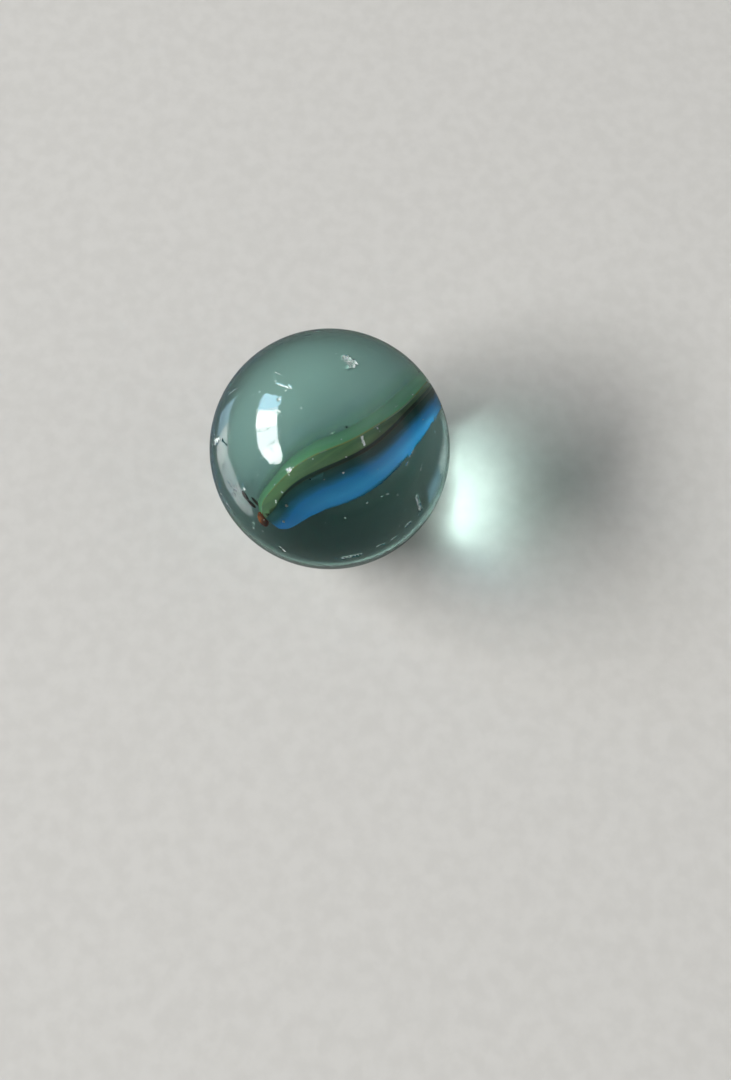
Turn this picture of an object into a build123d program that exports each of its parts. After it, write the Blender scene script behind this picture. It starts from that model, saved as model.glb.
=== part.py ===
from build123d import *
from collections import namedtuple
from math import cos, hypot, radians, sin
import os

# Glass marble: a clear ball fused around one curved vane of green and blue glass, with a green haze beside it.
# The origin is the ball's centre and +Z is up. Sizes are millimetres and angles are degrees.

# Ball
ball_diameter = 16.0
ball_radius = ball_diameter / 2
cover = 0.12  # clear glass between the vane's rim and the ball's surface

# Place of the vane: its foot is the pole where it starts, and its rim faces away from the foot's axis
foot_heading = 226.6
foot_lift = 24.4
rim_roll = -23.9

# Shape of the vane: a crescent blade, rim on the ball and inner edge on an ellipse about the centre
vane_waist = 3.6  # from the ball's centre to the inner edge, at mid length
vane_pole = 7.2  # from the ball's centre to the inner edge, at both poles
tip_thickness = 0.26  # at the inner edge
rim_overrun = 0.08  # share of the blade's depth that stands past the ball before it is trimmed

# Sections in planes that fan about the ball's side axis. turn is the angle from the foot, and the other
# values are measured across the blade, towards its blue face: the rim's two edges and the inner edge.
VaneStation = namedtuple("VaneStation", "turn rim_left rim_right inner")
vane_stations = [
    VaneStation(3, 0.62, 0.95, 1.92),
    VaneStation(17, -0.38, 0.30, 2.24),
    VaneStation(30, -0.72, -0.02, 2.38),
    VaneStation(42, -0.73, 0.14, 2.64),
    VaneStation(55, -0.34, 0.46, 2.74),
    VaneStation(70, -0.07, 0.60, 2.70),
    VaneStation(88, 0.02, 0.32, 2.49),
    VaneStation(108, -0.20, 0.04, 2.19),
    VaneStation(130, -0.32, -0.08, 1.72),
    VaneStation(152, -0.26, -0.04, 1.10),
    VaneStation(171, -0.10, 0.10, 0.40),
]

# Blue layer on the vane's right face
blue_start = 0.16  # share of the blade's depth where the blue begins under the green rim
blue_bevel = 0.14  # depth over which the blue reaches its full thickness
blue_side = 0.45  # share of the thickness, from the left face, where the green ends
blue_overrun = 0.3  # stands past the blade's face before it is trimmed

# Haze: a wing of thin green glass from the left edge of the vane's rim, slanting down into the ball
haze_width = 2.0  # across the vane, at mid length
haze_drop = 1.3  # towards the ball's centre, at mid length
haze_ends = 0.3  # share of both that is left at the poles
haze_edge = 0.06  # thickness of its free edge
haze_root = 0.10  # share of the blade's depth where its underside leaves the blade

# Speck in the glass beside the vane's foot, a faceted egg with its long axis nearly across the vane
speck_length = 1.14
speck_width = 0.80
speck_tilt = 22.8  # of the long axis, from the vane's side axis away from the rim
speck_sides = 16
speck_rings = [-76, -52, -26, 0, 26, 52, 76]  # angles from the egg's middle at which its facets meet
speck_side = 1.08  # from the pole axis, towards the blue face
speck_drop = 0.14  # from the pole axis, away from the rim
speck_depth = 0.55  # from the ball's surface to the speck's centre

# Chips: shallow dishes in the surface, placed by heading and lift from the ball's centre
Chip = namedtuple("Chip", "heading lift width depth")
chips = [
    Chip(67.3, 67.4, 0.80, 0.09),
    Chip(-51.5, 66.1, 0.42, 0.05),
    Chip(-123.5, 52.8, 0.50, 0.05),
    Chip(-41.3, 19.7, 0.66, 0.07),
    Chip(-172.8, 27.2, 0.60, 0.06),
    Chip(29.4, 22.0, 0.50, 0.06),
]

os.makedirs("parts", exist_ok=True)

# x points to the vane's foot, y to its blue face and z to the middle of its rim
vane_axes = Plane.XY.rotated((rim_roll, -foot_lift, foot_heading), ordering=Extrinsic.XYZ)


def fan_plane(turn):
    """Plane through the ball's centre: x towards the blue face, y outwards at this angle from the foot."""
    outwards = vane_axes.x_dir * cos(radians(turn)) + vane_axes.z_dir * sin(radians(turn))
    return Plane(origin=(0, 0, 0), x_dir=vane_axes.y_dir, z_dir=vane_axes.y_dir.cross(outwards))


def inner_reach(turn):
    """Distance from the ball's centre to the vane's inner edge at this angle."""
    return 1 / hypot(cos(radians(turn)) / vane_pole, sin(radians(turn)) / vane_waist)


def blade_point(station, depth, side):
    """Point of a section: depth 0 at the rim to 1 at the inner edge, side 0 on the left face to 1 on the right."""
    rim = station.rim_left + side * (station.rim_right - station.rim_left)
    inner = station.inner + (side - 0.5) * tip_thickness
    reach = ball_radius + depth * (inner_reach(station.turn) - ball_radius)
    return (rim + depth * (inner - rim), reach)


def outline(station, points):
    """Face in the station's plane through these points."""
    with BuildSketch(fan_plane(station.turn)) as face:
        with BuildLine():
            Polyline(*points, close=True)
        make_face()
    return face.sketch


def section(station, corners):
    """Face in the station's plane through corners given as (depth, side)."""
    return outline(station, [blade_point(station, depth, side) for depth, side in corners])


def haze_section(station):
    """Face of the haze in the station's plane."""
    share = haze_ends + (1 - haze_ends) * sin(radians(station.turn))
    edge_side = station.rim_left - haze_width * share
    edge_reach = ball_radius - cover - haze_drop * share
    return outline(
        station,
        [
            (station.rim_left, ball_radius),
            (edge_side, edge_reach),
            (edge_side, edge_reach - haze_edge),
            blade_point(station, haze_root, 0.5),
        ],
    )


# Whole blade, trimmed so that clear glass covers its rim
blade_corners = [(-rim_overrun, 0), (-rim_overrun, 1), (1, 1), (1, 0)]
with BuildPart() as blade:
    loft([section(station, blade_corners) for station in vane_stations])
    Sphere(ball_radius - cover, mode=Mode.INTERSECT)

# Blue layer
blue_corners = [
    (blue_start, 1 + blue_overrun),
    (1 + blue_overrun, 1 + blue_overrun),
    (1 + blue_overrun, blue_side),
    (blue_start + blue_bevel, blue_side),
    (blue_start, 1),
]
with BuildPart() as blue_vane:
    loft([section(station, blue_corners) for station in vane_stations])
    add(blade.part, mode=Mode.INTERSECT)
blue_vane.part.label = "blue_vane"
export_step(blue_vane.part, "parts/blue_vane.step")

# Green body and rim: the rest of the blade
with BuildPart() as green_vane:
    add(blade.part)
    add(blue_vane.part, mode=Mode.SUBTRACT)
green_vane.part.label = "green_vane"
export_step(green_vane.part, "parts/green_vane.step")

# Haze beside the rim, trimmed as the blade is
with BuildPart() as green_haze:
    loft([haze_section(station) for station in vane_stations])
    Sphere(ball_radius - cover, mode=Mode.INTERSECT)
    add(blade.part, mode=Mode.SUBTRACT)
green_haze.part.label = "green_haze"
export_step(green_haze.part, "parts/green_haze.step")

# Speck: flat facets between polygons that shrink towards both ends
speck_reach = ((ball_radius - speck_depth) ** 2 - speck_side**2 - speck_drop**2) ** 0.5
speck_centre = vane_axes.from_local_coords(Vector(speck_reach, speck_side, -speck_drop))
speck_axis = vane_axes.y_dir * cos(radians(speck_tilt)) - vane_axes.z_dir * sin(radians(speck_tilt))
with BuildPart() as brown_speck:
    for ring in speck_rings:
        ring_centre = speck_centre + speck_axis * (speck_length / 2 * sin(radians(ring)))
        with BuildSketch(Plane(ring_centre, x_dir=vane_axes.x_dir, z_dir=speck_axis)):
            RegularPolygon(speck_width / 2 * cos(radians(ring)), speck_sides)
    loft(ruled=True)
brown_speck.part.label = "brown_speck"
export_step(brown_speck.part, "parts/brown_speck.step")

# Clear ball around the coloured glass, with its chips
with BuildPart() as glass_ball:
    Sphere(ball_radius)
    for chip in chips:
        dish_radius = ((chip.width / 2) ** 2 + chip.depth**2) / (2 * chip.depth)
        outwards = Vector(
            cos(radians(chip.lift)) * cos(radians(chip.heading)),
            cos(radians(chip.lift)) * sin(radians(chip.heading)),
            sin(radians(chip.lift)),
        )
        dish_centre = outwards * (ball_radius - chip.depth + dish_radius)
        with Locations(Plane(dish_centre, z_dir=outwards)):
            Sphere(dish_radius, mode=Mode.SUBTRACT)
    add(blade.part, mode=Mode.SUBTRACT)
    add(green_haze.part, mode=Mode.SUBTRACT)
    add(brown_speck.part, mode=Mode.SUBTRACT)
glass_ball.part.label = "glass_ball"
export_step(glass_ball.part, "parts/glass_ball.step")
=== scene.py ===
import logging
import random
from dataclasses import dataclass, field
from enum import Enum
from math import asin, atan, atan2, cos, degrees, hypot, pi, radians, sin
from typing import Any

import bmesh
import bpy
import numpy as np
from mathutils import Euler, Matrix, Vector, noise
from mathutils.bvhtree import BVHTree


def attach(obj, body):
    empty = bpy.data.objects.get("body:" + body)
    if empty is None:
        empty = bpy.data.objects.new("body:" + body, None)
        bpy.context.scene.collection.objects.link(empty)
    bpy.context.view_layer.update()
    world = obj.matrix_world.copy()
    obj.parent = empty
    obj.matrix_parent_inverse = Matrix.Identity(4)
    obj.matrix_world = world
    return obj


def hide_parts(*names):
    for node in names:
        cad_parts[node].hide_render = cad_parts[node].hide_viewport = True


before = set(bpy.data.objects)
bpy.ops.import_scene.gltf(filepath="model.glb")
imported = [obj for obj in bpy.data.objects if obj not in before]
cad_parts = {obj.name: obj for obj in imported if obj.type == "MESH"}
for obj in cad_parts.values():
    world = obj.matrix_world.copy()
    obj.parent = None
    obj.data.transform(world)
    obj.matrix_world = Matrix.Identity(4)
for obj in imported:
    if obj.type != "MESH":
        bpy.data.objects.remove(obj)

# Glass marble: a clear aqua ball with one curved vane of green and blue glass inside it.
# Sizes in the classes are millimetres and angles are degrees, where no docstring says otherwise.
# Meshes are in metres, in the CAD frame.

log = logging.getLogger("marble")
logging.basicConfig(level=logging.INFO, format="%(message)s")

MM = 0.001
WELD = 0.001 * MM
WHITE = (1.0, 1.0, 1.0, 1.0)
BLACK = (0.0, 0.0, 0.0, 1.0)
Colour = tuple[float, float, float, float]
Direction = tuple[float, float, float]
Span = tuple[float, float]
Settings = dict[str, Any]
Sockets = dict[str | int, Any]


class Slot(Enum):
    """Material slots of the record."""

    CLEAR = "clear_glass"
    GREEN = "green_glass"
    BLUE = "blue_glass"
    HAZE = "haze_glass"
    BROWN = "brown_glass"


class WearKind(Enum):
    """How a mark in the ball's surface is cut."""

    CHIP = "chip"
    NICK = "nick"
    SCRATCH = "scratch"
    DENT = "dent"


class PaneUse(Enum):
    """What a pane does: it lights the scene, or it is only mirrored in polished glass."""

    LIGHT = "light"
    MIRROR = "mirror"


@dataclass(frozen=True)
class Grain:
    """Noise, by its cells for each metre, its octaves and how far the cells are stirred."""

    cells: float
    octaves: float = 3.0
    stir: float = 0.0


class Signal:
    """A shader value that takes part in Python arithmetic."""

    def __init__(self, graph: "Graph", socket: bpy.types.NodeSocket) -> None:
        """Wrap an output socket of a graph."""
        self.graph = graph
        self.socket = socket

    def maths(self, operation: str, *terms: "Signal | float", clamp: bool = False) -> "Signal":
        """Add a Math node.

        Args:
            operation: Blender's name of the operation.
            terms: the operands in order.
            clamp: keep the result between 0 and 1.

        Returns:
            The node's result.
        """
        settings = {"operation": operation, "use_clamp": clamp}
        return self.graph.signal("ShaderNodeMath", 0, settings, dict(enumerate(terms)))

    def __add__(self, other: "Signal | float") -> "Signal":
        """Sum."""
        return self.maths("ADD", self, other)

    def __radd__(self, other: float) -> "Signal":
        """Sum with the value on the right."""
        return self.maths("ADD", other, self)

    def __sub__(self, other: "Signal | float") -> "Signal":
        """Difference."""
        return self.maths("SUBTRACT", self, other)

    def __rsub__(self, other: float) -> "Signal":
        """Difference with the value on the right."""
        return self.maths("SUBTRACT", other, self)

    def __mul__(self, other: "Signal | float") -> "Signal":
        """Product."""
        return self.maths("MULTIPLY", self, other)

    def __rmul__(self, other: float) -> "Signal":
        """Product with the value on the right."""
        return self.maths("MULTIPLY", other, self)

    def __truediv__(self, other: "Signal | float") -> "Signal":
        """Quotient."""
        return self.maths("DIVIDE", self, other)

    def clamped(self) -> "Signal":
        """The value kept between 0 and 1."""
        return self.maths("ADD", self, 0.0, clamp=True)

    def between(self, span: Span) -> "Signal":
        """The value from 0 to 1, scaled to run over a span."""
        return span[0] + self * (span[1] - span[0])


class Graph:
    """The node tree of a material or a world, emptied for new nodes."""

    def __init__(self, owner: bpy.types.Material | bpy.types.World) -> None:
        """Empty the owner's tree."""
        owner.use_nodes = True
        self.tree = owner.node_tree
        self.tree.nodes.clear()

    def node(
        self, kind: str, settings: Settings | None = None, sockets: Sockets | None = None
    ) -> bpy.types.Node:
        """Add a node.

        Args:
            kind: Blender's type name.
            settings: properties, set first; "stops" sets a ramp's positions and colours.
            sockets: values or links by socket name or number.

        Returns:
            The new node.
        """
        made = self.tree.nodes.new(kind)
        for name, value in (settings or {}).items():
            if name == "stops":
                elements = made.color_ramp.elements
                while len(elements) < len(value):
                    elements.new(0.5)
                for element, (position, colour) in zip(elements, value):
                    element.position = position
                    element.color = colour
            else:
                setattr(made, name, value)
        for name, value in (sockets or {}).items():
            if isinstance(value, Signal):
                self.tree.links.new(value.socket, made.inputs[name])
            else:
                made.inputs[name].default_value = value
        return made

    def signal(
        self,
        kind: str,
        output: str | int,
        settings: Settings | None = None,
        sockets: Sockets | None = None,
    ) -> Signal:
        """Add a node and give one of its outputs.

        Args:
            kind: Blender's type name.
            output: the output's name or number.
            settings: properties of the node.
            sockets: values or links of its inputs.

        Returns:
            The output as a signal.
        """
        return Signal(self, self.node(kind, settings, sockets).outputs[output])

    def vector(self, operation: str, output: str, *terms: Any) -> Signal:
        """Add a Vector Math node and give one of its outputs."""
        sockets = dict(enumerate(terms))
        return self.signal("ShaderNodeVectorMath", output, {"operation": operation}, sockets)

    def place(self) -> Signal:
        """The point on the piece in metres."""
        return self.signal("ShaderNodeTexCoord", "Object")

    def stored(self, name: str) -> Signal:
        """A value stored on the piece's vertices."""
        return self.signal("ShaderNodeAttribute", "Fac", {"attribute_name": name})

    def turned(self, place: Signal, turn: Euler, scale: Direction) -> Signal:
        """The point in turned axes, stretched along each.

        Args:
            place: the point.
            turn: rotation that is taken off.
            scale: factor along each turned axis.

        Returns:
            The new point.
        """
        back = turn.to_matrix().inverted().to_euler()
        sockets = {"Vector": place, "Rotation": back}
        level = self.signal("ShaderNodeMapping", 0, {"vector_type": "POINT"}, sockets)
        return self.vector("MULTIPLY", "Vector", level, scale)

    def along(self, place: Signal, direction: Vector | Direction) -> Signal:
        """How far the point lies along a direction."""
        return self.vector("DOT_PRODUCT", "Value", place, direction)

    def reach(self, place: Signal) -> Signal:
        """Distance from the ball's centre in millimetres."""
        return self.vector("LENGTH", "Value", place) / MM

    def grain(self, place: Signal, grain: Grain) -> Signal:
        """Noise between 0 and 1 at the point."""
        sockets = {
            "Vector": place,
            "Scale": grain.cells,
            "Detail": grain.octaves,
            "Distortion": grain.stir,
        }
        return self.signal("ShaderNodeTexNoise", 0, None, sockets)

    def step(self, value: Signal, span: Span) -> Signal:
        """Smooth step from 0 at the span's start to 1 at its end."""
        sockets = {"Value": value, "From Min": span[0], "From Max": span[1]}
        return self.signal("ShaderNodeMapRange", 0, {"interpolation_type": "SMOOTHSTEP"}, sockets)

    def ramp(self, value: Signal, stops: list[tuple[float, Colour]]) -> Signal:
        """Colour by a value between 0 and 1."""
        return self.signal("ShaderNodeValToRGB", 0, {"stops": stops}, {0: value})

    def mix(self, factor: Signal | float, one: Signal | Colour, two: Signal | Colour) -> Signal:
        """Colour between two."""
        return self.signal("ShaderNodeMix", 2, {"data_type": "RGBA"}, {0: factor, 6: one, 7: two})

    def times(self, one: Signal | Colour, two: Signal | Colour) -> Signal:
        """Product of two colours."""
        settings = {"data_type": "RGBA", "blend_type": "MULTIPLY"}
        return self.signal("ShaderNodeMix", 2, settings, {0: 1.0, 6: one, 7: two})

    def principled(self, sockets: Sockets) -> bpy.types.Node:
        """Add a Principled surface."""
        return self.node("ShaderNodeBsdfPrincipled", None, sockets)

    def blend(
        self, share: Signal | float, one: bpy.types.Node, two: bpy.types.Node
    ) -> bpy.types.Node:
        """Mix two shaders, with the second one's share."""
        sockets = {0: share, 1: Signal(self, one.outputs[0]), 2: Signal(self, two.outputs[0])}
        return self.node("ShaderNodeMixShader", None, sockets)

    def lit_through(
        self, share: Signal | float, surface: bpy.types.Node, colour: Signal | Colour
    ) -> bpy.types.Node:
        """A surface that also passes light from behind.

        Args:
            share: how much of it passes light.
            surface: the shader of the rest.
            colour: colour of the light that it passes.

        Returns:
            The mixed shader.
        """
        through = self.node("ShaderNodeBsdfTranslucent", None, {"Color": colour})
        return self.blend(share, surface, through)

    def finish(self, surface: bpy.types.Node, volume: bpy.types.Node | None = None) -> None:
        """Link the shaders to the material's output."""
        sockets = {"Surface": Signal(self, surface.outputs[0])}
        if volume is not None:
            sockets["Volume"] = Signal(self, volume.outputs[0])
        self.node("ShaderNodeOutputMaterial", None, sockets)


class Finish:
    """A finish, which makes the one material that bears its name."""

    name: str

    def material(self) -> bpy.types.Material:
        """Make the material."""
        material = bpy.data.materials.new(self.name)
        self.dress(Graph(material))
        return material

    def dress(self, graph: Graph) -> None:
        """Add the finish's nodes to an empty graph."""
        raise NotImplementedError


@dataclass(frozen=True)
class ClearGlass(Finish):
    """Polished aqua glass, a little rubbed, with a faintly wavy surface."""

    name: str = "clear_aqua_glass"
    tint: Colour = (0.35, 0.75, 0.68, 1.0)
    density: float = 52.0
    ior: float = 1.52
    rubbed: float = 0.05
    patch: Grain = Grain(420.0, 4.0, 0.6)
    patch_span: Span = (0.60, 0.76)
    hair: Grain = Grain(2600.0, 2.0, 3.0)
    hair_span: Span = (0.62, 0.74)
    wave: Grain = Grain(1100.0, 4.0, 1.5)
    wave_height: float = 0.012

    def dress(self, graph: Graph) -> None:
        """Add the finish's nodes to an empty graph."""
        place = graph.place()
        patches = graph.step(graph.grain(place, self.patch), self.patch_span)
        hairs = graph.step(graph.grain(place, self.hair), self.hair_span)
        relief = {"Height": graph.grain(place, self.wave), "Distance": self.wave_height * MM}
        surface = graph.principled(
            {
                "Base Color": WHITE,
                "Transmission Weight": 1.0,
                "IOR": self.ior,
                "Roughness": patches * hairs * self.rubbed,
                "Normal": graph.signal("ShaderNodeBump", 0, None, relief),
            }
        )
        body = {"Color": self.tint, "Density": self.density}
        graph.finish(surface, graph.node("ShaderNodeVolumeAbsorption", None, body))


@dataclass(frozen=True)
class BrokenGlass(Finish):
    """Crushed white glass in the floor of a chip or a scratch, or in a bubble's wall."""

    name: str = "broken_glass"
    pale: Colour = (0.93, 0.97, 0.95, 1.0)
    shade: Colour = (0.46, 0.60, 0.55, 1.0)
    crumb: Grain = Grain(6000.0, 4.0)
    crumb_span: Span = (0.36, 0.62)
    rough: Span = (0.55, 0.25)
    ior: float = 1.5
    through: float = 0.3

    def dress(self, graph: Graph) -> None:
        """Add the finish's nodes to an empty graph."""
        crumbs = graph.step(graph.grain(graph.place(), self.crumb), self.crumb_span)
        colour = graph.mix(crumbs, self.shade, self.pale)
        surface = graph.principled(
            {"Base Color": colour, "Roughness": crumbs.between(self.rough), "IOR": self.ior}
        )
        graph.finish(graph.lit_through(self.through, surface, colour))


@dataclass(frozen=True)
class FusedSeam(Finish):
    """The joint where two colours of glass are fused, which has no surface of its own."""

    name: str = "fused_seam"

    def dress(self, graph: Graph) -> None:
        """Add the finish's nodes to an empty graph."""
        graph.finish(graph.principled({"Alpha": 0.0, "Specular IOR Level": 0.0}))


@dataclass(frozen=True, kw_only=True)
class DrawnGlass(Finish):
    """Glass of the vane, with streaks drawn out along the vane's axes."""

    turn: Euler
    stretch: Direction
    streak: Grain

    def streaks(self, graph: Graph, place: Signal) -> Signal:
        """Streaks between 0 and 1 at the point."""
        return graph.grain(graph.turned(place, self.turn, self.stretch), self.streak)


@dataclass(frozen=True, kw_only=True)
class OliveGlass(DrawnGlass):
    """Green glass of the vane: olive on its rim, painted shade below it, pale towards its inner
    edge. Rim and painted shade are painted lighter at the vane's far end, as painted light where
    little light reaches it.
    """

    name: str = "olive_glass"
    stretch: Direction = (0.22, 2.2, 0.22)
    streak: Grain = Grain(900.0, 5.0, 0.4)
    streak_span: Span = (0.38, 0.66)
    far_painted_light_span: Span = (1.0, -6.0)
    rim_reach: Span = (7.80, 7.86)
    side_depth: Span = (0.12, 0.24)
    thin_depth: Span = (0.30, 0.55)
    rim: Colour = (0.190, 0.350, 0.165, 1.0)
    rim_dark: Colour = (0.135, 0.275, 0.140, 1.0)
    # Painted light: paler rim and shade colours for the weakly lit far end of the vane.
    rim_far_painted_light: Colour = (0.360, 0.580, 0.380, 1.0)
    # Painted shade: the dark colour of the face just below the rim, where the rim shades it.
    shade: Colour = (0.050, 0.130, 0.110, 1.0)
    shade_far_painted_light: Colour = (0.200, 0.400, 0.330, 1.0)
    side: Colour = (0.260, 0.540, 0.400, 1.0)
    thin: Colour = (0.550, 0.920, 1.000, 1.0)
    rough: Span = (0.35, 0.55)
    through: float = 0.6
    through_thin: float = 0.2
    through_rim: float = 0.4

    def dress(self, graph: Graph) -> None:
        """Add the finish's nodes to an empty graph."""
        place = graph.place()
        streaks = self.streaks(graph, place)
        # Painted light: the vane's far end, away from its foot, is weakly lit, so its rim and its
        # painted shade are painted lighter there.
        foot = self.turn.to_matrix() @ Vector((1.0, 0.0, 0.0))
        far = graph.step(graph.along(place, foot) / MM, self.far_painted_light_span)
        rim = graph.mix(graph.step(streaks, self.streak_span), self.rim_dark, self.rim)
        rim = graph.mix(far, rim, self.rim_far_painted_light)
        shade = graph.mix(far, self.shade, self.shade_far_painted_light)
        depth = graph.stored("depth")
        inner = graph.step(depth, self.thin_depth)
        outer = graph.step(graph.reach(place), self.rim_reach)
        # Painted shade on the face just below the rim, then the face's own colour deeper down.
        side = graph.mix(graph.step(depth, self.side_depth), shade, self.side)
        colour = graph.mix(outer, graph.mix(inner, side, self.thin), rim)
        rough = streaks.between(self.rough)
        surface = graph.principled(
            {"Base Color": colour, "Roughness": rough, "Specular IOR Level": 0.0}
        )
        share = self.through + self.through_thin * inner - self.through_rim * outer
        graph.finish(graph.lit_through(share, surface, colour))


@dataclass(frozen=True, kw_only=True)
class BlueGlass(DrawnGlass):
    """Blue layer of the vane: painted shade of dark green-teal under the rim, bright blue towards
    its inner edge.
    """

    name: str = "blue_glass_layer"
    stretch: Direction = (0.18, 1.6, 0.9)
    streak: Grain = Grain(800.0, 4.0, 0.5)
    waver: Span = (-0.08, 0.08)
    # The first two stops, dark green-teal just under the rim, are painted shade where the rim
    # shades the layer.
    stops: tuple[tuple[float, Colour], ...] = (
        (0.12, (0.060, 0.200, 0.170, 1.0)),
        (0.33, (0.045, 0.190, 0.220, 1.0)),
        (0.54, (0.085, 0.420, 0.920, 1.0)),
        (0.78, (0.120, 0.530, 1.000, 1.0)),
        (0.92, (0.100, 0.450, 0.920, 1.0)),
        (1.00, (0.030, 0.150, 0.240, 1.0)),
    )
    rough: Span = (0.3, 0.5)
    through: float = 0.58

    def dress(self, graph: Graph) -> None:
        """Add the finish's nodes to an empty graph."""
        streaks = self.streaks(graph, graph.place())
        depth = graph.stored("depth") + streaks.between(self.waver)
        colour = graph.ramp(depth.clamped(), list(self.stops))
        rough = streaks.between(self.rough)
        surface = graph.principled(
            {"Base Color": colour, "Roughness": rough, "Specular IOR Level": 0.0}
        )
        graph.finish(graph.lit_through(self.through, surface, colour))


@dataclass(frozen=True, kw_only=True)
class HazeAndGlowGlass(DrawnGlass):
    """Green haze beside the vane's rim, which thins out away from it: partly milky glass, partly a
    painted glow of green light off the vane's lit face.
    """

    name: str = "green_haze_and_glow_glass"
    stretch: Direction = (0.2, 1.2, 1.2)
    streak: Grain = Grain(500.0, 3.0, 0.3)
    patchy: Span = (0.75, 1.25)
    edge: Colour = (0.420, 0.480, 0.160, 1.0)
    # The haze colour is partly painted glow: green light from the vane's lit face.
    haze: Colour = (0.340, 0.850, 0.400, 1.0)
    line_span: Span = (0.93, 0.99)
    line_cover: float = 0.1
    strength: float = 0.72
    rough: float = 0.6
    through: float = 0.5

    def dress(self, graph: Graph) -> None:
        """Add the finish's nodes to an empty graph."""
        streaks = self.streaks(graph, graph.place())
        near = 1.0 - graph.stored("spread")
        line = graph.step(near, self.line_span)
        cover = near * streaks.between(self.patchy) * self.strength + line * self.line_cover
        colour = graph.mix(line, self.haze, self.edge)
        surface = graph.principled(
            {"Base Color": colour, "Roughness": self.rough, "Specular IOR Level": 0.0}
        )
        glowing = graph.lit_through(self.through, surface, colour)
        clear = graph.node("ShaderNodeBsdfTransparent")
        graph.finish(graph.blend(cover.clamped(), clear, glowing))


@dataclass(frozen=True)
class FleckGlass(Finish):
    """Red-brown glass of the fleck at the vane's foot, or of the dark threads beside it."""

    name: str = "brown_fleck_glass"
    dark: Colour = (0.090, 0.020, 0.006, 1.0)
    warm: Colour = (0.360, 0.110, 0.025, 1.0)
    mottle: Grain = Grain(3200.0, 4.0, 0.5)
    mottle_span: Span = (0.35, 0.65)
    rough: Span = (0.25, 0.55)
    gloss: float = 0.2

    def dress(self, graph: Graph) -> None:
        """Add the finish's nodes to an empty graph."""
        mottle = graph.grain(graph.place(), self.mottle)
        colour = graph.mix(graph.step(mottle, self.mottle_span), self.dark, self.warm)
        rough = mottle.between(self.rough)
        surface = graph.principled(
            {"Base Color": colour, "Roughness": rough, "Specular IOR Level": self.gloss}
        )
        graph.finish(surface)


@dataclass(frozen=True)
class TableTop(Finish):
    """Pale, mottled table top: paler far off, and glossy where the ball shows it. Where the ball
    shows it, it has painted shade on its near side, painted light with a green tint on its far
    side, and painted shade in the ball's reflections.
    """

    name: str = "pale_table"
    pale: Colour = (0.608, 0.598, 0.572, 1.0)
    warm: Colour = (0.576, 0.566, 0.540, 1.0)
    mottle: Grain = Grain(900.0, 5.0)
    mottle_span: Span = (0.3, 0.7)
    rough: float = 0.55
    # Painted light and shade for the table seen through the ball: a green-tinted brightening on the
    # far side, a darker tint on the near side.
    through: Colour = (0.88, 1.14, 1.09, 1.0)
    through_near_painted_shade: Colour = (0.37, 0.53, 0.49, 1.0)
    painted_light_side: Direction = (0.6, 0.8, 0.0)
    painted_light_span: Span = (-7.0, 3.5)
    # Painted shade: the table is darker where the ball reflects it.
    mirrored: Colour = (0.30, 0.32, 0.32, 1.0)
    gloss_through: float = 0.15
    coat_ior: float = 1.7
    coat_rough: float = 0.02
    far: Colour = (0.26, 0.26, 0.255, 1.0)
    far_reach: Span = (150.0, 1000.0)

    def dress(self, graph: Graph) -> None:
        """Add the finish's nodes to an empty graph."""
        place = graph.place()
        mottle = graph.step(graph.grain(place, self.mottle), self.mottle_span)
        colour = graph.mix(mottle, self.warm, self.pale)
        gloss = graph.signal("ShaderNodeLightPath", "Is Glossy Ray")
        mirror = graph.signal("ShaderNodeLightPath", "Is Reflection Ray") * gloss
        behind = graph.signal("ShaderNodeLightPath", "Is Transmission Ray")
        camera = graph.signal("ShaderNodeLightPath", "Is Camera Ray")
        # Painted light on the far side and painted shade on the near side of the table, as the ball
        # shows it.
        bright = graph.step(graph.along(place, self.painted_light_side) / MM, self.painted_light_span)
        through = graph.mix(bright, self.through_near_painted_shade, self.through)
        seen = graph.times(graph.mix(behind, WHITE, through), colour)
        # Painted shade in the ball's reflections of the table.
        seen = graph.times(graph.mix(mirror, WHITE, self.mirrored), seen)
        distant = camera * graph.step(graph.reach(place), self.far_reach)
        surface = graph.principled(
            {
                "Base Color": seen,
                "Roughness": self.rough,
                "Specular IOR Level": 0.0,
                "Coat Weight": (1.0 - behind * (1.0 - self.gloss_through)) * (1.0 - camera),
                "Coat Roughness": self.coat_rough,
                "Coat IOR": self.coat_ior,
                "Emission Color": graph.mix(distant, BLACK, self.far),
                "Emission Strength": 1.0,
            }
        )
        graph.finish(surface)


def add_piece(
    name: str, bm: bmesh.types.BMesh, materials: list[bpy.types.Material]
) -> bpy.types.Object:
    """Make a mesh object at the origin.

    Args:
        name: the piece's name.
        bm: its shape, which is freed.
        materials: its material slots in order.

    Returns:
        The object, linked to the scene.
    """
    mesh = bpy.data.meshes.new(name)
    bm.to_mesh(mesh)
    bm.free()
    for material in materials:
        mesh.materials.append(material)
    piece = bpy.data.objects.new(name, mesh)
    bpy.context.scene.collection.objects.link(piece)
    log.info("%s: %d faces", name, len(mesh.polygons))
    return piece


def ride_root(piece: bpy.types.Object, slot: Slot, *nodes: str) -> bpy.types.Object:
    """Tie a piece to the ball.

    Args:
        piece: the object.
        slot: not used.
        nodes: CAD nodes that it stands for.

    Returns:
        The same object.
    """
    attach(piece, "root")
    if nodes:
        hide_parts(*nodes)
    return piece


def node_copy(name: str) -> bmesh.types.BMesh:
    """A CAD node's shape with its loose triangles merged."""
    bm = bmesh.new()
    bm.from_mesh(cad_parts[name].data)
    bmesh.ops.remove_doubles(bm, verts=bm.verts, dist=WELD)
    return bm


def outwards(heading: float, lift: float) -> Vector:
    """Unit vector from the ball's centre by heading and lift in degrees."""
    flat = cos(radians(lift))
    return Vector((flat * cos(radians(heading)), flat * sin(radians(heading)), sin(radians(lift))))


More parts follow.
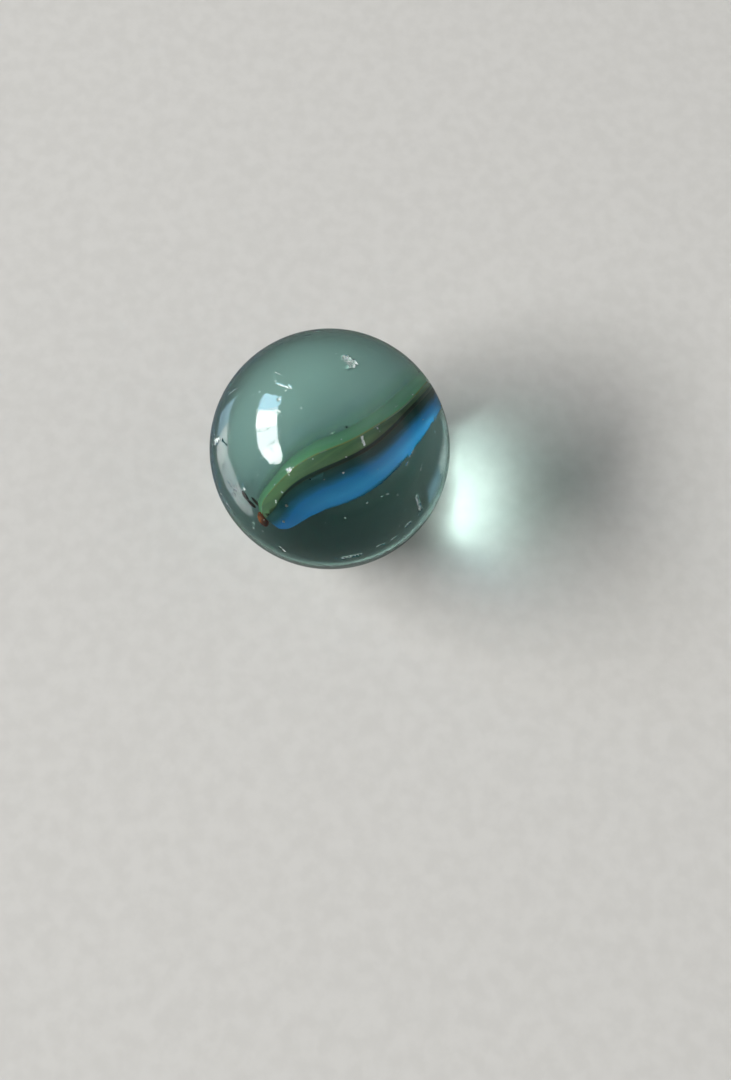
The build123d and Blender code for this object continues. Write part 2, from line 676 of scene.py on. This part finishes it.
@dataclass(frozen=True)
class Cut:
    """How a kind of mark breaks the glass, by its share: 0 on the mark's line and 1 at its edge.

    The bowl is 1 - share**power, raised to flatness. The floor is uneven by its facets.
    The glass is crushed below a share, where the facets are above a level.
    """

    power: int
    flatness: int
    uneven: float
    crushed_share: float
    crushed_above: float


CUTS: dict[WearKind, Cut] = {
    WearKind.CHIP: Cut(2, 1, 0.6, 0.9, -0.32),
    WearKind.NICK: Cut(1, 1, 0.5, 0.75, -0.25),
    WearKind.SCRATCH: Cut(1, 1, 0.5, 0.75, -0.25),
    WearKind.DENT: Cut(2, 2, 0.0, 0.0, 1.0),
}


@dataclass(frozen=True)
class Wear:
    """A mark in the ball's surface between two places, each a heading and a lift."""

    kind: WearKind
    start: tuple[float, float]
    end: tuple[float, float]
    width: float
    depth: float

    def distance(self, units: np.ndarray, radius: float) -> np.ndarray:
        """Distance from the mark's line.

        Args:
            units: unit vectors from the ball's centre, one in each row.
            radius: the ball's radius.

        Returns:
            Distances in the radius's unit.
        """
        one = np.array(outwards(*self.start))
        two = np.array(outwards(*self.end))
        line = two - one
        length = float(line @ line)
        share = np.zeros(len(units))
        if length > 0.0:
            share = np.clip((units - one) @ line / length, 0.0, 1.0)
        return np.linalg.norm(units - one - share[:, None] * line, axis=1) * radius


def default_wear() -> list[Wear]:
    """The chips, nicks, scratches and dents, without the small pits."""
    chip, nick, scratch, dent = WearKind.CHIP, WearKind.NICK, WearKind.SCRATCH, WearKind.DENT
    return [
        Wear(chip, (71.0, 66.2), (62.5, 67.6), 0.80, 0.090),
        Wear(dent, (63.0, 70.6), (62.0, 71.6), 0.42, 0.050),
        Wear(scratch, (157.3, 62.7), (160.9, 70.5), 0.15, 0.030),
        Wear(scratch, (156.1, 69.4), (161.0, 71.8), 0.13, 0.030),
        Wear(scratch, (145.7, 58.5), (146.7, 63.9), 0.10, 0.020),
        Wear(chip, (-50.0, 67.7), (-52.6, 64.4), 0.24, 0.050),
        Wear(nick, (-29.5, 65.4), (-30.8, 63.5), 0.12, 0.020),
        Wear(chip, (-122.9, 52.6), (-120.7, 55.2), 0.22, 0.050),
        Wear(nick, (-121.0, 51.4), (-119.4, 51.1), 0.14, 0.025),
        Wear(nick, (-121.8, 36.7), (-121.1, 35.7), 0.16, 0.030),
        Wear(nick, (-59.8, 39.3), (-58.6, 39.2), 0.12, 0.020),
        Wear(nick, (-54.7, 38.5), (-55.8, 38.8), 0.14, 0.020),
        Wear(scratch, (-29.6, 44.2), (-24.2, 44.0), 0.17, 0.030),
        Wear(nick, (-35.6, 43.3), (-33.2, 43.4), 0.15, 0.025),
        Wear(scratch, (-30.9, 34.0), (-27.0, 35.7), 0.12, 0.020),
        Wear(chip, (-40.6, 25.1), (-41.5, 15.6), 0.30, 0.060),
        Wear(nick, (-51.4, 13.0), (-49.0, 13.5), 0.30, 0.040),
        Wear(chip, (-83.7, 6.0), (-76.2, 6.9), 0.34, 0.050),
        Wear(nick, (-67.6, 9.4), (-64.0, 9.4), 0.16, 0.030),
        Wear(nick, (-60.0, 9.5), (-57.4, 9.5), 0.20, 0.030),
        Wear(chip, (-174.6, 21.0), (-173.8, 26.5), 0.34, 0.060),
        Wear(dent, (-171.3, 30.4), (-167.4, 33.3), 0.30, 0.040),
        Wear(nick, (-154.2, 6.0), (-153.0, 7.1), 0.20, 0.030),
        Wear(nick, (-148.1, 7.3), (-144.6, 7.6), 0.18, 0.030),
        Wear(scratch, (-0.7, 59.4), (13.1, 48.2), 0.08, 0.020),
        Wear(scratch, (13.1, 48.2), (28.6, 24.4), 0.12, 0.030),
        Wear(chip, (28.6, 25.5), (29.4, 21.0), 0.40, 0.060),
        Wear(nick, (99.1, 39.0), (95.2, 37.6), 0.20, 0.030),
        Wear(nick, (105.0, 43.8), (103.0, 44.1), 0.16, 0.030),
        Wear(scratch, (162.2, 30.6), (160.2, 38.7), 0.10, 0.015),
        Wear(nick, (-113.9, 7.4), (-111.5, 5.1), 0.22, 0.030),
        Wear(scratch, (120.0, 12.0), (131.0, 21.0), 0.12, 0.025),
        Wear(chip, (58.0, -12.0), (61.0, -16.0), 0.42, 0.060),
        Wear(nick, (152.0, -24.0), (155.0, -26.0), 0.26, 0.040),
        Wear(scratch, (-12.0, 4.0), (-2.0, -7.0), 0.12, 0.025),
        Wear(nick, (8.0, -28.0), (10.0, -30.0), 0.24, 0.040),
    ]


@dataclass
class GlassBall:
    """The clear ball: a closed sphere with the marks of wear cut into it.

    The cells of its noise are for each millimetre.
    """

    radius: float = 8.0
    divisions: int = 7
    margin: float = 0.10
    refinements: int = 2
    pits: int = 90
    pit_width: float = 0.24
    pit_depth: float = 0.025
    pit_sizes: Span = (0.5, 1.0)
    pit_seed: int = 5
    cut_reach: float = 0.75
    edge_rough: float = 0.45
    edge_cells: float = 4.0
    facet_cells: float = 9.0
    ripple: float = 0.0012
    ripple_cells: float = 0.55
    wear: list[Wear] = field(default_factory=default_wear)
    glass: ClearGlass = field(default_factory=ClearGlass)
    broken: BrokenGlass = field(default_factory=BrokenGlass)

    def __post_init__(self) -> None:
        """Add the small pits, scattered over the whole surface, to the marks of wear."""
        pick = random.Random(self.pit_seed)
        for _ in range(self.pits):
            place = (pick.uniform(-180.0, 180.0), degrees(asin(pick.uniform(-1.0, 1.0))))
            size = pick.uniform(*self.pit_sizes)
            pit = Wear(WearKind.NICK, place, place, self.pit_width * size, self.pit_depth * size)
            self.wear.append(pit)

    def units(self, bm: bmesh.types.BMesh) -> np.ndarray:
        """Unit vectors of the vertices, in their order."""
        places = np.array([vertex.co for vertex in bm.verts], float)
        return places / np.linalg.norm(places, axis=1)[:, None]

    def refine(self, bm: bmesh.types.BMesh) -> None:
        """Divide the mesh finer around each mark.

        Args:
            bm: the sphere, which is changed.
        """
        for _ in range(self.refinements):
            units = self.units(bm)
            near = np.zeros(len(units), bool)
            for mark in self.wear:
                near |= mark.distance(units, self.radius) < mark.width / 2 + self.margin
            bm.verts.index_update()
            edges = [edge for edge in bm.edges if all(near[end.index] for end in edge.verts)]
            bmesh.ops.subdivide_edges(bm, edges=edges, cuts=1, use_grid_fill=True)
            bmesh.ops.triangulate(bm, faces=[face for face in bm.faces if len(face.verts) > 3])
            for vertex in bm.verts:
                vertex.co = vertex.co.normalized() * self.radius * MM

    def ragged(self, units: np.ndarray, cells: float) -> np.ndarray:
        """Fixed noise from -1 to 1 at each unit vector."""
        return np.array([noise.noise(Vector(unit) * self.radius * cells) for unit in units])

    def carve(self, bm: bmesh.types.BMesh) -> set[int]:
        """Press the marks into the surface.

        Args:
            bm: the refined sphere, which is changed.

        Returns:
            Numbers of the vertices that lie in crushed glass.
        """
        units = self.units(bm)
        sink = np.zeros(len(units))
        crushed = np.zeros(len(units), bool)
        for mark in self.wear:
            cut = CUTS[mark.kind]
            distance = mark.distance(units, self.radius)
            inside = np.flatnonzero(distance < mark.width * self.cut_reach)
            edge = 1.0 + self.edge_rough * self.ragged(units[inside], self.edge_cells)
            share = distance[inside] / (mark.width / 2) * edge
            facets = self.ragged(units[inside], self.facet_cells)
            bowl = np.clip(1.0 - share**cut.power, 0.0, 1.0) ** cut.flatness
            depth = mark.depth * bowl * (1.0 + cut.uneven * facets)
            sink[inside] = np.maximum(sink[inside], depth)
            crushed[inside] |= (share < cut.crushed_share) & (facets > cut.crushed_above)
        ripple = self.ripple * self.ragged(units, self.ripple_cells)
        for vertex, drop, wave in zip(bm.verts, sink, ripple):
            vertex.co *= 1.0 - (drop + self.ripple + wave) / self.radius
        return set(np.flatnonzero(crushed).tolist())

    def build(self) -> bpy.types.Object:
        """Make the ball's mesh and dress it."""
        bm = bmesh.new()
        bmesh.ops.create_icosphere(bm, subdivisions=self.divisions, radius=self.radius * MM)
        self.refine(bm)
        crushed = self.carve(bm)
        bm.verts.index_update()
        for face in bm.faces:
            face.smooth = True
            if all(vertex.index in crushed for vertex in face.verts):
                face.material_index = 1
                face.smooth = False
        ball = add_piece("ball", bm, [self.glass.material(), self.broken.material()])
        return ride_root(ball, Slot.CLEAR, "glass_ball")


@dataclass
class Vane:
    """The curved vane: olive rim and body, blue layer on its right face, and beside its rim a haze
    that is partly painted glow.
    """

    ball_radius: float = 8.0
    waist: float = 3.6
    pole: float = 7.2
    blue_pole: float = 6.8
    foot_heading: float = 226.6
    foot_lift: float = 24.4
    rim_roll: float = -23.9
    smooth_angle: float = 32.0
    seam_gap: float = 0.02
    haze_span: float = 2.05
    haze_ends: float = 0.3
    haze_cuts: int = 3

    def turn(self) -> Euler:
        """Rotation to the vane's axes: x to its foot, y to its blue face, z to its rim."""
        angles = (self.rim_roll, -self.foot_lift, self.foot_heading)
        return Euler([radians(angle) for angle in angles], "XYZ")

    def mark_seam(self, bm: bmesh.types.BMesh, other: bmesh.types.BMesh) -> None:
        """Give the faces that are fused to another body the second material slot.

        Args:
            bm: the body whose faces are marked.
            other: the body that it is fused to.
        """
        tree = BVHTree.FromBMesh(other)
        for face in bm.faces:
            gap = tree.find_nearest(face.calc_center_median())[3]
            face.material_index = int(gap is not None and gap < self.seam_gap * MM)

    def mark_depth(self, bm: bmesh.types.BMesh, pole: float) -> None:
        """Store how deep each point lies in the blade, from 0 at the rim to 1 at the inner edge.

        Args:
            bm: the body.
            pole: distance from the ball's centre to the inner edge at the poles.
        """
        depth = bm.verts.layers.float.new("depth")
        to_vane = self.turn().to_matrix().inverted()
        for vertex in bm.verts:
            place = to_vane @ vertex.co / MM
            turn = atan2(place.z, place.x)
            inner = 1.0 / hypot(cos(turn) / pole, sin(turn) / self.waist)
            sunk = self.ball_radius - hypot(place.x, place.z)
            vertex[depth] = sunk / (self.ball_radius - inner)

    def mark_spread(self, haze: bmesh.types.BMesh, green: bmesh.types.BMesh) -> None:
        """Store how far each point is from the vane, from 0 at its root to 1 at its free edge.

        Args:
            haze: the haze, which is divided finer.
            green: the body that it grows from.
        """
        bmesh.ops.subdivide_edges(haze, edges=haze.edges, cuts=self.haze_cuts, use_grid_fill=True)
        tree = BVHTree.FromBMesh(green)
        spread = haze.verts.layers.float.new("spread")
        to_vane = self.turn().to_matrix().inverted()
        for vertex in haze.verts:
            place = to_vane @ vertex.co
            span = self.haze_ends + (1.0 - self.haze_ends) * sin(atan2(place.z, place.x))
            gap = tree.find_nearest(vertex.co)[3] / MM
            vertex[spread] = min(1.0, gap / (self.haze_span * span))

    def mark_underside(self, haze: bmesh.types.BMesh) -> None:
        """Give the haze's inward faces the second material slot, so that it shows as one layer."""
        haze.normal_update()
        for face in haze.faces:
            if face.normal.dot(face.calc_center_median()) < 0.0:
                face.material_index = 1

    def add_glass(self, name: str, bm: bmesh.types.BMesh, finish: DrawnGlass) -> bpy.types.Object:
        """Make one body of the vane, smooth but for its sharp edges.

        Args:
            name: the piece's name.
            bm: its shape.
            finish: its finish.

        Returns:
            The piece.
        """
        piece = add_piece(name, bm, [finish.material(), FusedSeam(f"{name}_seam").material()])
        piece.data.shade_smooth()
        piece.data.set_sharp_from_angle(angle=radians(self.smooth_angle))
        return piece

    def build(self) -> None:
        """Make the vane's bodies from the CAD nodes and dress them."""
        green, blue, haze = node_copy("green_vane"), node_copy("blue_vane"), node_copy("green_haze")
        self.mark_depth(green, self.pole)
        self.mark_depth(blue, self.blue_pole)
        self.mark_seam(green, blue)
        self.mark_seam(blue, green)
        self.mark_spread(haze, green)
        self.mark_seam(haze, green)
        self.mark_underside(haze)
        turn = self.turn()
        olive = self.add_glass("vane_green", green, OliveGlass(turn=turn))
        ride_root(olive, Slot.GREEN, "green_vane")
        layer = self.add_glass("vane_blue", blue, BlueGlass(turn=turn))
        ride_root(layer, Slot.BLUE, "blue_vane")
        wing = self.add_glass("haze", haze, HazeAndGlowGlass(turn=turn))
        ride_root(wing, Slot.HAZE, "green_haze")


@dataclass(frozen=True)
class Thread:
    """A thin dark streak under the surface between two places, each a heading and a lift."""

    start: tuple[float, float]
    end: tuple[float, float]
    width: float


@dataclass
class Inclusions:
    """What else is caught in the glass: the brown fleck, dark threads that are partly painted
    shadow of small cracks, and bubbles.

    The cells of its noise are for each metre.
    """

    ball_radius: float = 8.0
    fleck_cuts: int = 2
    fleck_smooth: float = 0.4
    fleck_rough: float = 0.05
    fleck_cells: float = 4000.0
    thread_depth: float = 0.22
    thread_bend: float = 0.5
    thread_cells: float = 900.0
    # Partly painted shadow: the near-black threads stand for the black shadow in small open cracks
    # beside the fleck.
    thread_and_shadow_glass: FleckGlass = FleckGlass(
        "dark_thread_and_crack_shadow", (0.004, 0.006, 0.005, 1.0), (0.030, 0.022, 0.010, 1.0)
    )
    bubble_depth: float = 0.30
    threads: tuple[Thread, ...] = (
        Thread((-142.1, 26.8), (-135.8, 25.0), 0.30),
        Thread((-136.8, 25.2), (-130.9, 25.0), 0.26),
        Thread((-135.7, 28.6), (-128.5, 27.2), 0.22),
        Thread((-59.9, 75.9), (-59.6, 74.6), 0.12),
    )
    bubbles: tuple[tuple[float, float, float], ...] = (
        (-115.3, 36.0, 0.20),
        (-114.6, 26.5, 0.18),
        (-124.0, 12.5, 0.14),
        (-92.5, 31.5, 0.10),
        (-124.8, 21.2, 0.12),
    )

    def build_fleck(self) -> bpy.types.Object:
        """Make the fleck: the CAD speck, finer and uneven."""
        bm = node_copy("brown_speck")
        bmesh.ops.triangulate(bm, faces=bm.faces)
        bmesh.ops.subdivide_edges(
            bm, edges=bm.edges, cuts=self.fleck_cuts, use_grid_fill=True, smooth=self.fleck_smooth
        )
        bm.normal_update()
        for vertex in bm.verts:
            uneven = 0.5 + 0.5 * noise.noise(vertex.co * self.fleck_cells)
            vertex.co -= vertex.normal * self.fleck_rough * MM * uneven
        fleck = add_piece("brown_fleck", bm, [FleckGlass().material()])
        fleck.data.shade_smooth()
        return ride_root(fleck, Slot.BROWN, "brown_speck")

    def build_threads(self) -> bpy.types.Object:
        """Make the dark threads: slim, uneven spindles just under the surface, partly dark brown
        glass and partly painted shadow of small open cracks beside the fleck.
        """
        bm = bmesh.new()
        reach = (self.ball_radius - self.thread_depth) * MM
        for thread in self.threads:
            one = outwards(*thread.start) * reach
            two = outwards(*thread.end) * reach
            along = (two - one).normalized()
            half = thread.width / 2 * MM
            made = bmesh.ops.create_uvsphere(bm, u_segments=10, v_segments=12, radius=1.0)["verts"]
            shape = Matrix.Diagonal((half, half, (two - one).length / 2, 1.0))
            turn = along.to_track_quat("Z", "Y").to_matrix().to_4x4()
            place = Matrix.Translation((one + two) / 2)
            bmesh.ops.transform(bm, matrix=place @ turn @ shape, verts=made)
            for vertex in made:
                wave = noise.noise(vertex.co * self.thread_cells)
                bend = wave * thread.width * self.thread_bend * MM
                vertex.co = vertex.co.normalized() * (vertex.co.length + bend)
        threads = add_piece("dark_threads", bm, [self.thread_and_shadow_glass.material()])
        threads.data.shade_smooth()
        return ride_root(threads, Slot.BROWN)

    def build_bubbles(self) -> bpy.types.Object:
        """Make the small pale bubbles just under the surface."""
        bm = bmesh.new()
        for heading, lift, width in self.bubbles:
            made = bmesh.ops.create_icosphere(bm, subdivisions=3, radius=width / 2 * MM)["verts"]
            centre = outwards(heading, lift) * (self.ball_radius - self.bubble_depth) * MM
            bmesh.ops.translate(bm, vec=centre, verts=made)
        bubbles = add_piece("bubbles", bm, [BrokenGlass("bubble_wall").material()])
        bubbles.data.shade_smooth()
        return ride_root(bubbles, Slot.CLEAR)

    def build(self) -> None:
        """Make every inclusion and dress it."""
        self.build_fleck()
        self.build_threads()
        self.build_bubbles()


@dataclass(frozen=True)
class Pane:
    """One pane of the window, by its edges in metres along the wall and above the ball's centre."""

    left: float
    right: float
    sill: float
    head: float
    radiance: float
    colour: tuple[float, float, float] = (1.0, 1.0, 1.0)
    use: PaneUse = PaneUse.LIGHT


@dataclass(frozen=True)
class Glow:
    """A soft patch of light, by its direction and the cosines where it starts and is full."""

    towards: Direction
    start: float
    full: float
    level: float


@dataclass
class Studio:
    """Table, window light and dim room, in metres apart from the floor's level."""

    floor_level: float = -8.0
    floor_size: float = 1.3
    wall_distance: float = 1.0
    wall_turn: float = -6.0
    mirror_step: float = 0.02
    room: tuple[Span, ...] = (
        (0.0, 0.04),
        (0.1, 0.17),
        (0.80, 0.17),
        (0.90, 0.03),
        (1.0, 0.03),
    )
    glows: tuple[Glow, ...] = (
        Glow((0.77, -0.10, 0.63), 0.80, 0.95, 0.40),
        Glow((0.00, -0.50, 0.87), 0.93, 0.98, 0.10),
    )
    room_colour: Colour = (1.0, 0.985, 0.955, 1.0)
    backdrop: Colour = (0.60, 0.60, 0.585, 1.0)
    panes: tuple[Pane, ...] = (
        Pane(0.31, 0.50, 0.50, 0.70, 8.0, (0.55, 0.78, 1.0)),
        Pane(0.00, 0.30, 0.51, 0.88, 20.0),
        Pane(-0.27, 0.00, 0.51, 0.88, 25.0),
        Pane(-0.46, -0.27, 0.54, 0.92, 31.0),
        Pane(-0.72, -0.46, 0.60, 0.90, 35.0),
        Pane(0.31, 0.60, 0.36, 0.84, 12.0, (0.50, 0.76, 1.0), PaneUse.MIRROR),
        Pane(0.01, 0.30, 0.34, 0.86, 22.0, use=PaneUse.MIRROR),
        Pane(-0.27, -0.01, 0.36, 0.86, 17.0, (0.95, 0.95, 1.0), PaneUse.MIRROR),
        Pane(-0.46, -0.28, 0.40, 0.62, 21.0, use=PaneUse.MIRROR),
        Pane(-0.47, -0.29, 0.64, 0.92, 21.0, use=PaneUse.MIRROR),
        Pane(-0.58, -0.46, 0.46, 0.94, 20.0, use=PaneUse.MIRROR),
        Pane(-0.67, -0.58, 0.58, 0.92, 18.0, use=PaneUse.MIRROR),
        Pane(-0.73, -0.67, 0.70, 0.84, 18.0, use=PaneUse.MIRROR),
    )

    def build_floor(self) -> bpy.types.Object:
        """Make the table top."""
        bm = bmesh.new()
        bmesh.ops.create_circle(bm, cap_ends=True, segments=64, radius=self.floor_size)
        bmesh.ops.translate(bm, vec=(0.0, 0.0, self.floor_level * MM), verts=bm.verts)
        floor = add_piece("table_top", bm, [TableTop().material()])
        return floor

    def build_pane(self, number: int, pane: Pane) -> bpy.types.Object:
        """Make one pane of the window as an area light.

        Args:
            number: the pane's number.
            pane: its place and light.

        Returns:
            The light's object.
        """
        light = bpy.data.lights.new(f"pane_{number}", "AREA")
        light.shape = "RECTANGLE"
        light.size = pane.right - pane.left
        light.size_y = pane.head - pane.sill
        light.energy = pane.radiance * pi * light.size * light.size_y
        light.color = pane.colour
        lamp = bpy.data.objects.new(light.name, light)
        turn = radians(self.wall_turn)
        wall = Vector((-cos(turn), -sin(turn), 0.0))
        side = Vector((-sin(turn), cos(turn), 0.0))
        middle = Vector((0.0, 0.0, (pane.sill + pane.head) / 2))
        away = self.wall_distance - (self.mirror_step if pane.use is PaneUse.MIRROR else 0.0)
        lamp.location = wall * away + side * (pane.left + pane.right) / 2 + middle
        lamp.rotation_mode = "QUATERNION"
        lamp.rotation_quaternion = wall.to_track_quat("Z", "Y")
        lamp.visible_camera = False
        lamp.visible_diffuse = pane.use is PaneUse.LIGHT
        lamp.visible_transmission = pane.use is PaneUse.LIGHT
        lamp.visible_glossy = pane.use is PaneUse.MIRROR
        bpy.context.scene.collection.objects.link(lamp)
        return lamp

    def build_room(self) -> bpy.types.World:
        """Make the room's light: dim with soft glows, and a pale backdrop for the camera."""
        world = bpy.data.worlds.new("room")
        bpy.context.scene.world = world
        graph = Graph(world)
        place = graph.signal("ShaderNodeTexCoord", "Generated")
        height = graph.signal("ShaderNodeSeparateXYZ", "Z", None, {0: place})
        stops = [(stop, (level, level, level, 1.0)) for stop, level in self.room]
        light = graph.ramp(height, stops)
        for glow in self.glows:
            facing = graph.along(place, glow.towards)
            level = graph.step(facing, (glow.start, glow.full)) * glow.level
            light = graph.vector("ADD", "Vector", light, level)
        tinted = graph.times(light, self.room_colour)
        camera = graph.signal("ShaderNodeLightPath", "Is Camera Ray")
        colour = graph.mix(camera, tinted, self.backdrop)
        background = graph.node("ShaderNodeBackground", None, {"Color": colour, "Strength": 1.0})
        graph.node("ShaderNodeOutputWorld", None, {"Surface": Signal(graph, background.outputs[0])})
        return world

    def build(self) -> None:
        """Make the table, the window and the room."""
        self.build_floor()
        for number, pane in enumerate(self.panes):
            self.build_pane(number, pane)
        self.build_room()
        scene = bpy.context.scene
        scene.view_settings.view_transform = "Standard"
        scene.cycles.blur_glossy = 0.0


@dataclass
class PhotoCamera:
    """Camera above the table, looking down on the ball, up and left of the frame's middle.

    The frame's size and the ball's place in it are in pixels.
    """

    elevation: float = 67.0
    distance: float = 88.7
    lens: float = 44.13
    sensor: float = 36.0
    frame_width: float = 731.0
    frame_height: float = 1080.0
    ball_across: float = 330.1
    ball_down: float = 449.6

    def build(self) -> bpy.types.Object:
        """Make the camera and give it to the scene."""
        lens = bpy.data.cameras.new("photo_camera")
        lens.lens = self.lens
        lens.sensor_width = self.sensor
        lens.clip_start = MM
        camera = bpy.data.objects.new("photo_camera", lens)
        bpy.context.scene.collection.objects.link(camera)
        bpy.context.scene.camera = camera
        lift = radians(self.elevation)
        back = Vector((0.0, -cos(lift), sin(lift)))
        focal = self.lens / self.sensor * self.frame_height
        aside = (self.ball_across - self.frame_width / 2) / focal
        down = (self.ball_down - self.frame_height / 2) / focal
        tilt = Euler((atan(down), atan(aside), 0.0)).to_quaternion()
        camera.location = back * self.distance * MM
        camera.rotation_mode = "QUATERNION"
        camera.rotation_quaternion = (-back).to_track_quat("-Z", "Y") @ tilt
        return camera


def main() -> None:
    """Build the marble, its studio and its camera in order."""
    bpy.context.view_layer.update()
    PhotoCamera().build()
    Studio().build()
    GlassBall().build()
    Vane().build()
    Inclusions().build()


if __name__ == "__main__":
    main()
